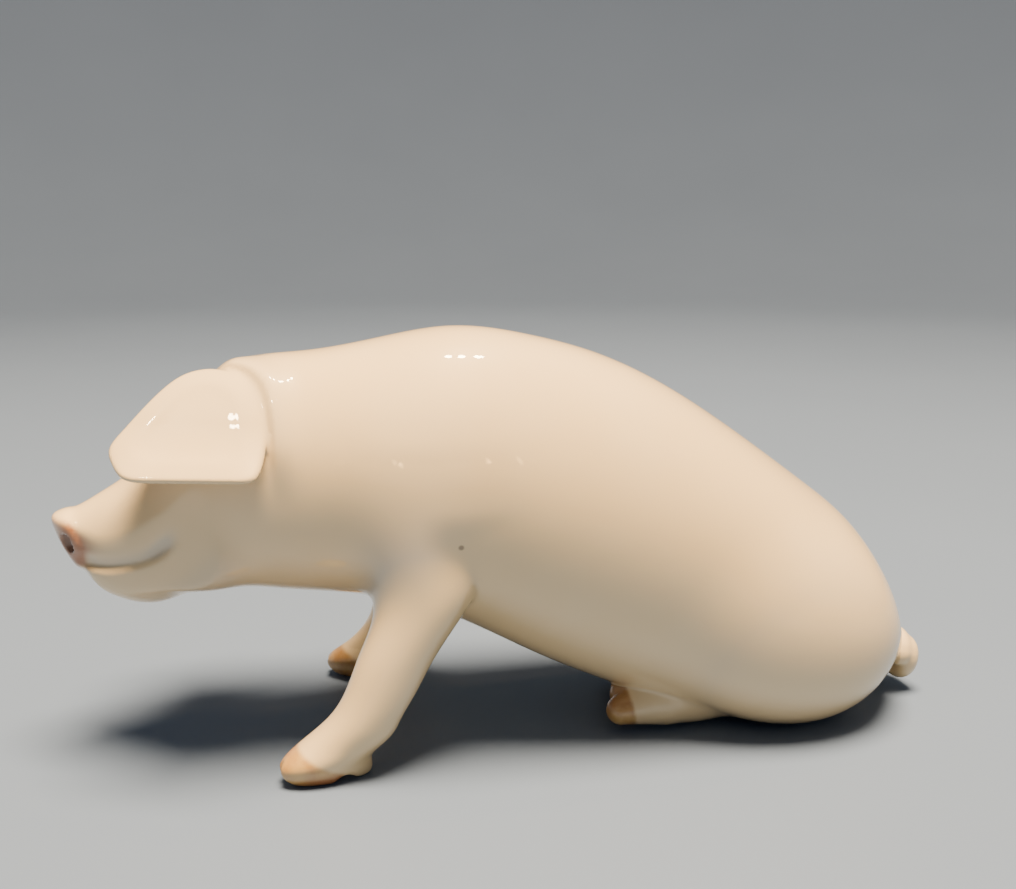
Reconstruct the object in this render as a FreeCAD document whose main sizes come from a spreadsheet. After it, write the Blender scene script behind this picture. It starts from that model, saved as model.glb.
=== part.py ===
# Piggy bank: a sitting pig in glazed porcelain, slip cast in pieces that are luted together
# before firing. The hollow trunk takes coins through a slot above the tail and gives them
# back through a rubber stopper in its base.
# Millimetres. +Z is up, the nose points to -X, the pig's left side is towards -Y.
# The origin is on the table, under the middle of the bounding box.
import FreeCAD, Part
import os

import Sketcher
from FreeCAD import Placement, Rotation, Vector

doc = FreeCAD.newDocument("PiggyBank")

# ---------------------------------------------------------------- driving dimensions

sheet = doc.addObject("Spreadsheet::Sheet", "Sizes")

SIZES = {
    # porcelain
    "wall": 3.0,
    "floor_height": 5.6,
    # snout disc: it leans back from its upper edge
    "disc_x": -69.6,
    "disc_z": 33.6,
    "disc_half_height": 5.3,
    "disc_half_width": 4.8,
    "disc_lean": 20.0,
    # coin slot, cut level into the steep lower back
    "slot_width": 4.4,
    "slot_low": 14.0,
    "slot_high": 35.0,
    "slot_from": 45.0,
    "slot_to": 75.0,
    # stopper and its seat in the base
    "plug_x": 41.0,
    "hole_radius": 10.4,
    "seat_radius": 12.4,
    "seat_depth": 2.3,
    "plug_top_radius": 9.8,
    "plug_neck_radius": 10.3,
    "plug_flange_radius": 12.0,
    "plug_flange_thick": 1.4,
    "plug_lift": 0.7,
    "plug_height": 8.6,
    "plug_bore_radius": 6.4,
    "plug_bore_depth": 4.0,
    "grip_radius": 5.8,
    "grip_depth": 2.6,
    "grip_bar": 2.4,
    # front legs: the right hoof stands a little further back
    "right_hoof_back": 8.0,
    # ears
    "ear_thick": 2.6,
    "ear_stand_off": 10.8,
    "ear_tilt": 26.0,
    "ear_yaw": -8.0,
    "ear_corner": 3.4,
    "ear_edge": 1.1,
    "right_ear_drop": 3.5,
    # tail curl
    "tail_wire": 1.9,
    "tail_curl": 3.0,
    "tail_centre_x": 66.5,
    "tail_centre_y": -0.4,
    "tail_centre_z": 5.6,
}

# Trunk sections, nose to tail: place, top of the back, underside, half the width.
# From the hips back the undersides reach below the table, which cuts the flat base.
TRUNK = {
    "lip": (-64.0, 41.6, 25.6, 6.6),
    "cheek": (-57.5, 45.6, 23.6, 9.2),
    "brow": (-51.0, 54.0, 23.4, 12.6),
    "poll": (-44.0, 60.6, 24.0, 15.2),
    "neck": (-30.0, 62.0, 24.4, 17.6),
    "withers": (-14.0, 64.9, 18.4, 20.2),
    "chest": (2.0, 63.4, 10.6, 21.2),
    "loin": (18.0, 57.6, 2.4, 21.8),
    "hip": (32.0, 49.4, -5.0, 22.4),
    "croup": (46.0, 39.0, -6.5, 21.6),
    "rump": (57.0, 29.0, -4.0, 15.8),
    "dock": (64.5, 16.5, -0.5, 8.0),
    "seat": (67.0, 11.0, 4.0, 3.2),
}
CAVITY = ("brow", "poll", "neck", "withers", "chest", "loin", "hip", "croup", "rump")

# Front leg sections, shoulder to sole: height, place, distance from the middle plane,
# half the length, half the width.
FRONT_LEG = {
    "shoulder": (44.0, -16.0, 11.0, 10.0, 7.0),
    "elbow": (31.0, -18.8, 14.6, 7.6, 6.6),
    "forearm": (18.0, -22.6, 17.6, 6.2, 5.6),
    "pastern": (8.0, -29.2, 19.2, 5.2, 4.6),
    "coronet": (4.0, -33.2, 19.8, 6.0, 4.8),
    "sole": (0.0, -34.6, 20.0, 5.6, 4.2),
}
# How much of the right hoof's set-back each section takes.
SET_BACK = {"shoulder": 0.0, "elbow": 0.15, "forearm": 0.45, "pastern": 0.8, "coronet": 1.0, "sole": 1.0}

# Hind foot sections, toe to haunch: place, height of the axis, distance from the middle
# plane, half the height, half the width.
HIND_FOOT = {
    "toe": (10.6, 2.3, 7.2, 1.8, 1.7),
    "hoof": (14.0, 3.0, 7.4, 3.1, 3.0),
    "shank": (21.0, 3.5, 8.2, 3.7, 3.5),
    "hock": (32.0, 5.2, 10.0, 5.2, 4.6),
}

# Ear outline in side view, with the ear upright: tip, crown, back and lower corners.
EAR = {
    "tip": (-62.4, 48.2),
    "crown": (-49.0, 63.6),
    "back": (-42.0, 58.4),
    "lobe": (-39.6, 46.2),
}


def set_cell(alias, value):
    """One plain number per row, with its name beside it."""
    set_cell.row += 1
    sheet.set("A%d" % set_cell.row, alias)
    sheet.set("B%d" % set_cell.row, repr(float(value)))
    sheet.setAlias("B%d" % set_cell.row, alias)


set_cell.row = 0

for alias, value in SIZES.items():
    set_cell(alias, value)
for group, fields, table in (
    ("trunk", ("place", "top", "under", "half"), TRUNK),
    ("leg", ("height", "place", "side", "length", "width"), FRONT_LEG),
    ("foot", ("place", "axis", "side", "height", "width"), HIND_FOOT),
    ("ear", ("place", "height"), EAR),
):
    for station, values in table.items():
        for field, value in zip(fields, values):
            set_cell("%s_%s_%s" % (group, station, field), value)
for station, share in SET_BACK.items():
    set_cell("leg_%s_share" % station, share)
doc.recompute()


def bind(item, **expressions):
    """Binds properties to the sheet. Double underscores stand for dots."""
    for name, expression in expressions.items():
        item.setExpression(name.replace("__", "."), expression)
    return item


def labelled(item, label):
    item.Label = label
    return item


UPRIGHT = Rotation(Vector(0, 1, 0), -90)


def upright_ellipse(name, place, side, height, half_height, half_width):
    """A section across the pig's length, its long axis upright."""
    ellipse = doc.addObject("Part::Ellipse", name)
    ellipse.Placement = Placement(Vector(0, 0, 0), UPRIGHT)
    bind(ellipse, MajorRadius=half_height, MinorRadius=half_width)
    return bind(ellipse, Placement__Base__x=place, Placement__Base__y=side, Placement__Base__z=height)


def loft(name, sections):
    item = doc.addObject("Part::Loft", name)
    item.Sections = sections
    item.Solid = True
    item.Ruled = False
    return item


def cut(name, base, tool):
    item = doc.addObject("Part::Cut", name)
    item.Base = base
    item.Tool = tool
    return item


def fuse(name, shapes):
    item = doc.addObject("Part::MultiFuse", name)
    item.Shapes = shapes
    return item


# ---------------------------------------------------------------- trunk and head


def trunk_section(name, station, inset="0"):
    middle = "(Sizes.trunk_{0}_top + Sizes.trunk_{0}_under) / 2".format(station)
    half = "(Sizes.trunk_{0}_top - Sizes.trunk_{0}_under) / 2 - {1}".format(station, inset)
    width = "Sizes.trunk_{0}_half - {1}".format(station, inset)
    return upright_ellipse(name, "Sizes.trunk_%s_place" % station, "0", middle, half, width)


def snout_disc():
    disc = upright_ellipse(
        "SnoutDisc", "Sizes.disc_x", "0", "Sizes.disc_z", "Sizes.disc_half_height", "Sizes.disc_half_width"
    )
    disc.Placement.Rotation = Rotation(Vector(0, 1, 0), -90 - SIZES["disc_lean"])
    return disc


def table_block():
    """Everything under the table."""
    block = doc.addObject("Part::Box", "TableBlock")
    block.Length = 300
    block.Width = 200
    block.Height = 60
    block.Placement.Base = Vector(-150, -100, -60)
    return block


table = table_block()
trunk_loft = loft(
    "TrunkLoft", [snout_disc()] + [trunk_section("Trunk_" + station, station) for station in TRUNK]
)
hide = cut("Hide", trunk_loft, table)


def cavity():
    """The hollow left by slip casting, with a level floor where the base is thick."""
    sections = [trunk_section("Hollow_" + station, station, "Sizes.wall") for station in CAVITY]
    block = doc.addObject("Part::Box", "FloorBlock")
    block.Length = 300
    block.Width = 200
    block.Height = 60
    block.Placement.Base = Vector(-150, -100, 0)
    bind(block, Placement__Base__z="Sizes.floor_height - 60")
    return cut("Hollow", loft("HollowLoft", sections), block)


def coin_slot():
    slot = doc.addObject("Part::Box", "CoinSlot")
    bind(
        slot,
        Length="Sizes.slot_to - Sizes.slot_from",
        Width="Sizes.slot_width",
        Height="Sizes.slot_high - Sizes.slot_low",
        Placement__Base__x="Sizes.slot_from",
        Placement__Base__y="-Sizes.slot_width / 2",
        Placement__Base__z="Sizes.slot_low",
    )
    return slot


def upright_cylinder(name, radius, low, high):
    """A cylinder on the stopper's axis between two heights."""
    item = doc.addObject("Part::Cylinder", name)
    bind(item, Radius=radius, Height="%s - (%s)" % (high, low))
    return bind(item, Placement__Base__x="Sizes.plug_x", Placement__Base__z=low)


hole = upright_cylinder("StopperHole", "Sizes.hole_radius", "-1", "Sizes.floor_height + 4")
seat = upright_cylinder("StopperSeat", "Sizes.seat_radius", "-1", "Sizes.seat_depth")
hollows = fuse("Hollows", [cavity(), coin_slot(), hole, seat])
body_shell = labelled(cut("BodyShell", hide, hollows), "body_shell")

# ---------------------------------------------------------------- legs and feet


def leg_section(name, station, side, set_back):
    """A level section; the long axis points along the pig."""
    ellipse = doc.addObject("Part::Ellipse", name)
    key = "Sizes.leg_%s_" % station
    bind(ellipse, MajorRadius=key + "length", MinorRadius=key + "width")
    place = "{0}place + {1} * {0}share * Sizes.right_hoof_back".format(key, set_back)
    return bind(
        ellipse,
        Placement__Base__x=place,
        Placement__Base__y="%d * %sside" % (side, key),
        Placement__Base__z=key + "height",
    )


def front_leg(label, name, side, set_back):
    sections = [leg_section("%s_%s" % (name, s), s, side, set_back) for s in FRONT_LEG]
    return labelled(cut(name, loft(name + "Loft", sections), hide), label)


def hind_foot(label, name, side):
    sections = []
    for station in HIND_FOOT:
        key = "Sizes.foot_%s_" % station
        across = "%d * %sside" % (side, key)
        section = upright_ellipse(
            "%s_%s" % (name, station), key + "place", across, key + "axis", key + "height", key + "width"
        )
        sections.append(section)
    clear_of_trunk = cut(name + "Stub", loft(name + "Loft", sections), trunk_loft)
    return labelled(cut(name, clear_of_trunk, table), label)


left_front_leg = front_leg("left_front_leg", "LeftFrontLeg", -1, 0)
right_front_leg = front_leg("right_front_leg", "RightFrontLeg", 1, 1)
left_hind_foot = hind_foot("left_hind_foot", "LeftHindFoot", -1)
right_hind_foot = hind_foot("right_hind_foot", "RightHindFoot", 1)

# ---------------------------------------------------------------- ears


def origin_plane(body, role):
    return next(feature for feature in body.Origin.OriginFeatures if feature.Role == role)


def ear_sketch(body, name):
    """The outline, each corner held by its two coordinates."""
    sketch = body.newObject("Sketcher::SketchObject", name)
    sketch.AttachmentSupport = [(origin_plane(body, "XZ_Plane"), "")]
    sketch.MapMode = "FlatFace"
    corners = list(EAR)
    points = [Vector(EAR[corner][0], EAR[corner][1], 0) for corner in corners]
    for i, start in enumerate(points):
        sketch.addGeometry(Part.LineSegment(start, points[(i + 1) % len(points)]), False)
    for i in range(len(points)):
        sketch.addConstraint(Sketcher.Constraint("Coincident", i, 2, (i + 1) % len(points), 1))
    for i, corner in enumerate(corners):
        across = sketch.addConstraint(Sketcher.Constraint("DistanceX", -1, 1, i, 1, points[i].x))
        up = sketch.addConstraint(Sketcher.Constraint("DistanceY", -1, 1, i, 1, points[i].y))
        sketch.setExpression("Constraints[%d]" % across, "Sizes.ear_%s_place" % corner)
        sketch.setExpression("Constraints[%d]" % up, "Sizes.ear_%s_height" % corner)
    return sketch


def long_edges(shape, across):
    """Names of the edges that run across the flap (across) or around its two faces."""
    names = []
    for i, edge in enumerate(shape.Edges):
        first, last = edge.Vertexes[0].Point, edge.Vertexes[-1].Point
        runs_across = abs(last.y - first.y) > 1e-3
        if runs_across == across:
            names.append("Edge%d" % (i + 1))
    return names


def ear(label, name, side):
    """A leaf with rounded corners, folded forward over the eye and luted to the head."""
    body = doc.addObject("PartDesign::Body", name + "Flap")
    pad = body.newObject("PartDesign::Pad", name + "Pad")
    pad.Profile = ear_sketch(body, name + "Outline")
    pad.setExpression("Length", "Sizes.ear_thick")
    pad.Midplane = True
    doc.recompute()
    corners = body.newObject("PartDesign::Fillet", name + "Corners")
    corners.Base = (pad, long_edges(pad.Shape, True))
    corners.setExpression("Radius", "Sizes.ear_corner")
    doc.recompute()
    edges = body.newObject("PartDesign::Fillet", name + "Edges")
    faces = [i for i, face in enumerate(corners.Shape.Faces) if abs(face.normalAt(0, 0).y) > 0.99]
    edges.Base = (corners, ["Face%d" % (i + 1) for i in faces])
    edges.setExpression("Radius", "Sizes.ear_edge")
    body.Tip = edges
    root = Vector(EAR["back"][0], 0, EAR["back"][1])
    turn = Rotation(Vector(0, 0, 1), -side * SIZES["ear_yaw"]).multiply(
        Rotation(Vector(1, 0, 0), side * SIZES["ear_tilt"])
    )
    drop = SIZES["right_ear_drop"] if side > 0 else 0.0
    offset = Vector(0, side * SIZES["ear_stand_off"], -drop)
    body.Placement = Placement(offset, turn, root)
    return labelled(cut(name, body, hide), label)


left_ear = ear("left_ear", "LeftEar", -1)
right_ear = ear("right_ear", "RightEar", 1)

# ---------------------------------------------------------------- tail


def tail_curl():
    """A ring of clay pressed against the rump; most of the ring stands clear."""
    ring = doc.addObject("Part::Torus", "TailRing")
    ring.Placement.Rotation = Rotation(Vector(1, 0, 0), 78)
    bind(ring, Radius1="Sizes.tail_curl", Radius2="Sizes.tail_wire")
    return bind(
        ring,
        Placement__Base__x="Sizes.tail_centre_x",
        Placement__Base__y="Sizes.tail_centre_y",
        Placement__Base__z="Sizes.tail_centre_z",
    )


tail = labelled(cut("Tail", tail_curl(), hide), "tail")

# ---------------------------------------------------------------- stopper


def stopper_body():
    """A tapered rubber bung under a flange, hollow above, with a finger bar below."""
    neck = doc.addObject("Part::Cone", "StopperNeck")
    bind(
        neck,
        Radius1="Sizes.plug_neck_radius",
        Radius2="Sizes.plug_top_radius",
        Height="Sizes.plug_height - Sizes.plug_flange_thick",
        Placement__Base__x="Sizes.plug_x",
        Placement__Base__z="Sizes.plug_lift + Sizes.plug_flange_thick",
    )
    low = "Sizes.plug_lift"
    flange = upright_cylinder("StopperFlange", "Sizes.plug_flange_radius", low, low + " + Sizes.plug_flange_thick")
    top = "Sizes.plug_lift + Sizes.plug_height"
    bore = upright_cylinder("StopperBore", "Sizes.plug_bore_radius", top + " - Sizes.plug_bore_depth", top + " + 1")
    dish = upright_cylinder("StopperDish", "Sizes.grip_radius", "0", low + " + Sizes.grip_depth")
    bar = doc.addObject("Part::Box", "StopperBar")
    bind(
        bar,
        Length="Sizes.grip_bar",
        Width="2 * Sizes.grip_radius",
        Height="Sizes.plug_lift + Sizes.grip_depth",
        Placement__Base__x="Sizes.plug_x - Sizes.grip_bar / 2",
        Placement__Base__y="-Sizes.grip_radius",
    )
    bung = fuse("StopperBung", [neck, flange])
    hollows_in_bung = fuse("StopperHollows", [bore, cut("StopperGrip", dish, bar)])
    return labelled(cut("Stopper", bung, hollows_in_bung), "stopper")


stopper = stopper_body()

# ---------------------------------------------------------------- check and write

NODES = [
    body_shell,
    left_ear,
    right_ear,
    left_front_leg,
    right_front_leg,
    left_hind_foot,
    right_hind_foot,
    tail,
    stopper,
]


def check_document():
    for item in doc.Objects:
        if {"Invalid", "Error"} & set(item.State):
            raise SystemExit("%s failed: %s" % (item.Name, item.State))
    for node in NODES:
        if node.Shape.isNull() or not node.Shape.isValid():
            raise SystemExit("%s has no valid shape" % node.Label)


def write_parts():
    os.makedirs("parts", exist_ok=True)
    for node in NODES:
        node.Shape.exportStep("parts/%s.step" % node.Label)


doc.recompute()
check_document()
write_parts()
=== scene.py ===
"""A sitting pig in glazed porcelain, made as a money box.

The whole animal is one smooth shape, written as a signed field in millimetres: below zero is clay.
Each casting (shell, ears, legs, feet, tail) is cut out of that field and meshed on its own grid,
so the pieces meet exactly and the glaze runs over the joins without a line.
"""

import math

import bpy
import numpy as np
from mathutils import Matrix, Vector


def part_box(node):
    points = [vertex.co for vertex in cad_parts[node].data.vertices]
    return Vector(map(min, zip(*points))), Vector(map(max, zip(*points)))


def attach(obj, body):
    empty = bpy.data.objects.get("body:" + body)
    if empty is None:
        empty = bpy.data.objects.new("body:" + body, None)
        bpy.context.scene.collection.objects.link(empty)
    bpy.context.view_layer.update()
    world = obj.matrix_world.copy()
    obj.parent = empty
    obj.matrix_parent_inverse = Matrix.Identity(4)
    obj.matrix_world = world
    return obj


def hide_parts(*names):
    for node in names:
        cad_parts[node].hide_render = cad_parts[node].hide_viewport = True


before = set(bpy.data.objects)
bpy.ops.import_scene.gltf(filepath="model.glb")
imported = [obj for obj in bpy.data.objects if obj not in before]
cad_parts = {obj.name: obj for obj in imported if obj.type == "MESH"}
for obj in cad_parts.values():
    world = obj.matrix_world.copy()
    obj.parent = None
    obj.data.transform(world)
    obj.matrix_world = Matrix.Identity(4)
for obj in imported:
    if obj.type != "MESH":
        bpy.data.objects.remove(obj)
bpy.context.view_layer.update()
MM = 0.001


# ---------------------------------------------------------------- FIELD TOOLS
def smin(a, b, k):
    """The lower of two fields, with a fillet about k wide where they cross."""
    h = np.maximum(k - np.abs(a - b), 0.0) / k
    return np.minimum(a, b) - h * h * h * k / 6.0


def smax(a, b, k):
    """The higher of two fields, with an edge rounded about k wide where they cross."""
    return -smin(-a, -b, k)


def ease(t):
    """0 below 0, 1 above 1, and smooth between."""
    t = np.clip(t, 0.0, 1.0)
    return t * t * t * (t * (6.0 * t - 15.0) + 10.0)


def rotate(x, z, degrees):
    """The same place on axes that are turned by some degrees, from x towards z."""
    c = math.cos(math.radians(degrees))
    s = math.sin(math.radians(degrees))
    return c * x + s * z, -s * x + c * z


class Spline:
    """Natural cubic spline through a few knots."""

    def __init__(self, knots, values):
        self.t = np.asarray(knots, float)
        self.v = np.asarray(values, float)
        count = len(self.t)
        gap = np.diff(self.t)
        slope = np.diff(self.v) / gap
        system = np.eye(count)
        right = np.zeros(count)
        for i in range(1, count - 1):
            system[i, i - 1 : i + 2] = gap[i - 1], 2 * (gap[i - 1] + gap[i]), gap[i]
            right[i] = 6 * (slope[i] - slope[i - 1])
        self.bend = np.linalg.solve(system, right)

    def __call__(self, t):
        t = np.clip(t, self.t[0], self.t[-1])
        i = np.clip(np.searchsorted(self.t, t) - 1, 0, len(self.t) - 2)
        low, high = self.t[i], self.t[i + 1]
        gap = high - low
        a, b = (high - t) / gap, (t - low) / gap
        straight = a * self.v[i] + b * self.v[i + 1]
        bow = (a**3 - a) * self.bend[i] + (b**3 - b) * self.bend[i + 1]
        return straight + bow * gap**2 / 6


def ellipsoid(x, y, z, centre, radii, pitch):
    """Distance to an ellipsoid. A positive pitch lifts the +X end."""
    px, py, pz = x - centre[0], y - centre[1], z - centre[2]
    px, pz = rotate(px, pz, pitch)
    a, b, c = radii
    near = np.sqrt((px / a) ** 2 + (py / b) ** 2 + (pz / c) ** 2) + 1e-9
    steep = np.sqrt((px / a**2) ** 2 + (py / b**2) ** 2 + (pz / c**2) ** 2) + 1e-9
    return near * (near - 1.0) / steep


def limb(x, y, z, start, end, start_radius, end_radius):
    """A round stick with round ends."""
    ax, ay, az = start
    dx, dy, dz = end[0] - ax, end[1] - ay, end[2] - az
    long = dx * dx + dy * dy + dz * dz
    t = np.clip(((x - ax) * dx + (y - ay) * dy + (z - az) * dz) / long, 0, 1)
    gx, gy, gz = x - ax - t * dx, y - ay - t * dy, z - az - t * dz
    return np.sqrt(gx * gx + gy * gy + gz * gz) - (start_radius + (end_radius - start_radius) * t)


def loft_distance(p, q, middle, reach, rates):
    """Distance to a loft of ellipse sections.

    p and q lie in the section, middle and reach give its centre and radii there, and rates say how
    fast those four numbers change along the loft.
    """
    a = (p - middle[0]) / reach[0]
    b = (q - middle[1]) / reach[1]
    size = np.sqrt(a * a + b * b) + 1e-6
    across = a / (reach[0] * size)
    up = b / (reach[1] * size)
    along = a * (rates[0] + a * rates[2]) / reach[0] + b * (rates[1] + b * rates[3]) / reach[1]
    along = along / size
    return (size - 1.0) / (np.sqrt(across**2 + up**2 + along**2) + 1e-9)


# ---------------------------------------------------------------- TRUNK AND HEAD
# Place along the pig (nose at -X), top line, underside, half width.
TRUNK = (
    (-76.0, 37.4, 30.5, 4.6),
    (-70.0, 38.7, 28.9, 4.7),
    (-65.0, 41.4, 25.5, 6.1),
    (-61.0, 44.1, 23.8, 8.2),
    (-56.5, 49.2, 23.8, 10.2),
    (-51.0, 56.4, 25.9, 12.6),
    (-44.0, 60.8, 25.7, 14.6),
    (-35.0, 61.9, 24.5, 16.4),
    (-25.0, 63.3, 23.2, 18.2),
    (-12.0, 65.3, 18.8, 20.0),
    (0.0, 63.9, 12.4, 20.8),
    (12.0, 60.5, 6.6, 21.2),
    (24.0, 54.6, 1.8, 21.2),
    (36.0, 46.6, -0.8, 21.0),
    (47.0, 38.5, -0.8, 19.4),
    (55.8, 30.7, 1.4, 15.8),
    (61.5, 21.1, 4.4, 10.6),
    (64.4, 14.2, 7.0, 6.0),
)
TRUNK_END = 65.4
TRUNK_END_HEIGHT = 10.2


def trunk_splines():
    """Splines over the root of the distance from the rump, which makes the rump round."""
    rows = np.array(TRUNK)[::-1]
    knots = np.concatenate([[0.0], np.sqrt(TRUNK_END - rows[:, 0])])
    ends = (TRUNK_END_HEIGHT, TRUNK_END_HEIGHT, 0.0)
    return [Spline(knots, np.concatenate([[end], rows[:, i + 1]])) for i, end in enumerate(ends)]


TOP, UNDERSIDE, HALF_WIDTH = trunk_splines()


def trunk_section(u, inset, floor):
    """Height of the middle, half width and half height of a section."""
    top = TOP(u) - inset
    under = UNDERSIDE(u) + inset
    if floor is not None:
        under = np.maximum(under, floor)
    wide = np.maximum(HALF_WIDTH(u) - inset, 0.3)
    return (top + under) / 2, wide, np.maximum((top - under) / 2, 0.3)


def trunk(x, y, z, inset=0.0, floor=None):
    """The trunk and head, or their hollow: inset all round, and no lower than the floor."""
    held = np.minimum(x, TRUNK_END - 0.2)
    u = np.sqrt(TRUNK_END - held)
    step = 0.02
    height, wide, high = trunk_section(u, inset, floor)
    later = trunk_section(u + step, inset, floor)
    rate = -0.5 / u / step
    height_rate, wide_rate, high_rate = [
        (b - a) * rate for a, b in zip((height, wide, high), later)
    ]
    rates = (0.0, height_rate, wide_rate, high_rate)
    d = loft_distance(y, z, (0.0, height), (wide, high), rates)
    beyond = x - held
    return np.where(beyond > 0, np.sqrt(np.maximum(d, 0) ** 2 + beyond**2), d)


DISC = (-71.6, 33.4)  # place and height of its middle
DISC_LEAN = 23.0
DISC_HALF = (5.6, 4.6)  # across, and up its face
DISC_BOW = 4.4  # how far the sides of its face fall back
DISC_DOME = 0.5  # how far its top and bottom fall back
DISC_DEPTH = 3.4


def disc_frame(x, z):
    """Distances from the middle of the snout disc: forwards, and up along its face."""
    c = math.cos(math.radians(DISC_LEAN))
    s = math.sin(math.radians(DISC_LEAN))
    px, pz = x - DISC[0], z - DISC[1]
    return -c * px - s * pz, -s * px + c * pz


def fall_back(y):
    """How far the face of the disc curves back at a place across it."""
    return DISC_BOW * (y / DISC_HALF[0]) ** 2


def snout(x, y, z):
    """The blunt disc at the end of the nose: a short drum with a domed face."""
    forward, up = disc_frame(x, z)
    a, b = y / DISC_HALF[0], up / DISC_HALF[1]
    rim = (np.sqrt(a * a + b * b + 1e-9) - 1.0) * DISC_HALF[0]
    face = forward + DISC_BOW * a * a + DISC_DOME * b * b
    return smax(smax(rim, face, 1.8), -forward - DISC_DEPTH, 2.4)


# Place and height of the line of the mouth on the side of the muzzle.
MOUTH = ((-74.0, 31.8), (-69.5, 31.5), (-65.5, 31.1), (-61.0, 31.9), (-57.5, 33.3), (-52.5, 37.0))
MOUTH_LINE = Spline(*np.array(MOUTH).T)
MOUTH_DEPTH = 0.75
MOUTH_CORNER = (-56.0, 0.3)  # place, and how far above the line
CORNER_DEPTH = 0.8
LIP_SWELL = 0.85


def mouth_relief(x, y, z):
    """How far the skin sinks along the line of the mouth and swells at the lower lip."""
    slope = (MOUTH_LINE(x + 0.1) - MOUTH_LINE(x - 0.1)) / 0.2
    above = (z - MOUTH_LINE(x)) / np.sqrt(1.0 + slope * slope)
    aside = ease((np.abs(y) - 1.5) / 3.0)
    ends = ease((x + 72.0) / 4.0) * ease((-52.4 - x) / 3.6)
    corner = np.exp(-(((x - MOUTH_CORNER[0]) / 1.8) ** 2) - ((above - MOUTH_CORNER[1]) / 1.3) ** 2)
    width = np.where(above > 0, 1.5, 0.8)
    groove = MOUTH_DEPTH * ends * np.exp(-((above / width) ** 2)) + CORNER_DEPTH * corner
    below = np.maximum(-above - 1.5, 0.0)
    lip = LIP_SWELL * ease((x + 71.5) / 6.0) * ease((-50.0 - x) / 9.0)
    lip = lip * ease(-above / 1.6) * np.exp(-((below / 4.2) ** 2))
    return aside * (groove - lip)


NOSTRIL_SIDE = 3.0
NOSTRIL_RISE = 0.2
NOSTRIL_TURN = -14.0
NOSTRIL_WIDE = 0.95
NOSTRIL_TALL = 1.6
NOSTRIL_DEEP = 1.6


def nostril_frame(y, up):
    """Distances from the middle of the nearer nostril: across it and up it."""
    return rotate(np.abs(y) - NOSTRIL_SIDE, up - NOSTRIL_RISE, NOSTRIL_TURN)


def nostrils(x, y, z):
    """Two small upright hollows in the disc."""
    forward, up = disc_frame(x, z)
    across, tall = nostril_frame(y, up)
    depth = forward + fall_back(NOSTRIL_SIDE)
    size = (depth / NOSTRIL_DEEP) ** 2 + (across / NOSTRIL_WIDE) ** 2 + (tall / NOSTRIL_TALL) ** 2
    return (np.sqrt(size) - 1.0) * NOSTRIL_WIDE


# Soft masses on both sides of the pig: centre, radii and pitch.
EYE = ((-55.6, 8.7, 46.9), (1.7, 1.0, 1.0), -14.0)
CHEEK = ((-50.6, 6.4, 33.0), (8.0, 6.6, 5.6), -6.0)
SHOULDER = ((-14.5, 9.6, 40.5), (11.5, 9.4, 17.0), -16.0)
HAUNCH = ((39.6, 10.0, 16.6), (19.6, 12.2, 15.2), -24.0)


def both_sides(x, y, z, mass):
    """A mass and its mirror across the middle plane."""
    return ellipsoid(x, np.abs(y), z, *mass)


# ---------------------------------------------------------------- EARS
EAR_MIDDLE = (-49.0, 10.7, 52.8)
EAR_TILT = 36.0
EAR_TOE_IN = 14.0
EAR_HALF_THICK = 1.6
EAR_CURL_UP = -0.017  # bend of the flap above its middle, per square mm
EAR_CURL_DOWN = 0.028
EAR_DISH = 0.35
RIGHT_EAR_DROP = 3.0
# The sides of the flap: direction in degrees from forwards, reach, and width of the rounding.
LEAF = (
    (32.5, 9.3, 0.0),
    (68.0, 10.8, 4.0),
    (102.0, 10.5, 5.0),
    (136.0, 9.9, 5.0),
    (168.0, 9.1, 4.0),
    (183.0, 10.3, 2.0),
    (-90.5, 10.1, 3.4),
    (-35.0, 13.6, 3.6),
)


def ear_frame(x, y, z, side):
    """Places on a flap: forwards along it, up along it, and out from its face."""
    drop = RIGHT_EAR_DROP if side > 0 else 0.0
    px, py, pz = x - EAR_MIDDLE[0], side * y - EAR_MIDDLE[1], z - EAR_MIDDLE[2] + drop
    px, py = rotate(px, py, EAR_TOE_IN)
    py, pz = rotate(py, pz, EAR_TILT)
    return -px, pz, py


def leaf(a, b):
    """Outline of the flap: pointed in front, round at the crown, nearly straight below."""
    d = None
    for angle, reach, rounding in LEAF:
        side = a * math.cos(math.radians(angle)) + b * math.sin(math.radians(angle)) - reach
        d = side if d is None else smax(d, side, rounding)
    return d


def ear(x, y, z, side):
    """A flap that is slightly dished and thins out towards its edge."""
    a, b, c = ear_frame(x, y, z, side)
    edge = leaf(a, b)
    bow = np.where(b > 0, EAR_CURL_UP, EAR_CURL_DOWN) * b * b
    dish = EAR_DISH * ease(-edge / 6.0)
    half = EAR_HALF_THICK * (0.62 + 0.38 * ease(-edge / 4.0))
    return smax(edge, np.abs(c - bow + dish) - half, 2.2)


def ear_ridge(x, y, z):
    """How far the neck swells along a soft ridge that follows the back of each flap."""
    swell = 0.0
    for side in (-1, 1):
        a, b, c = ear_frame(x, y, z, side)
        beyond = leaf(a, b) - 1.6
        width = np.where(beyond > 0, 2.4, 1.3)
        behind = ease((2.0 - a) / 5.0) * ease((b + 11.5) / 10.0) * ease((side * y + 1.0) / 3.0)
        swell = swell + 1.0 * behind * np.exp(-((beyond / width) ** 2))
    return swell


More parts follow.
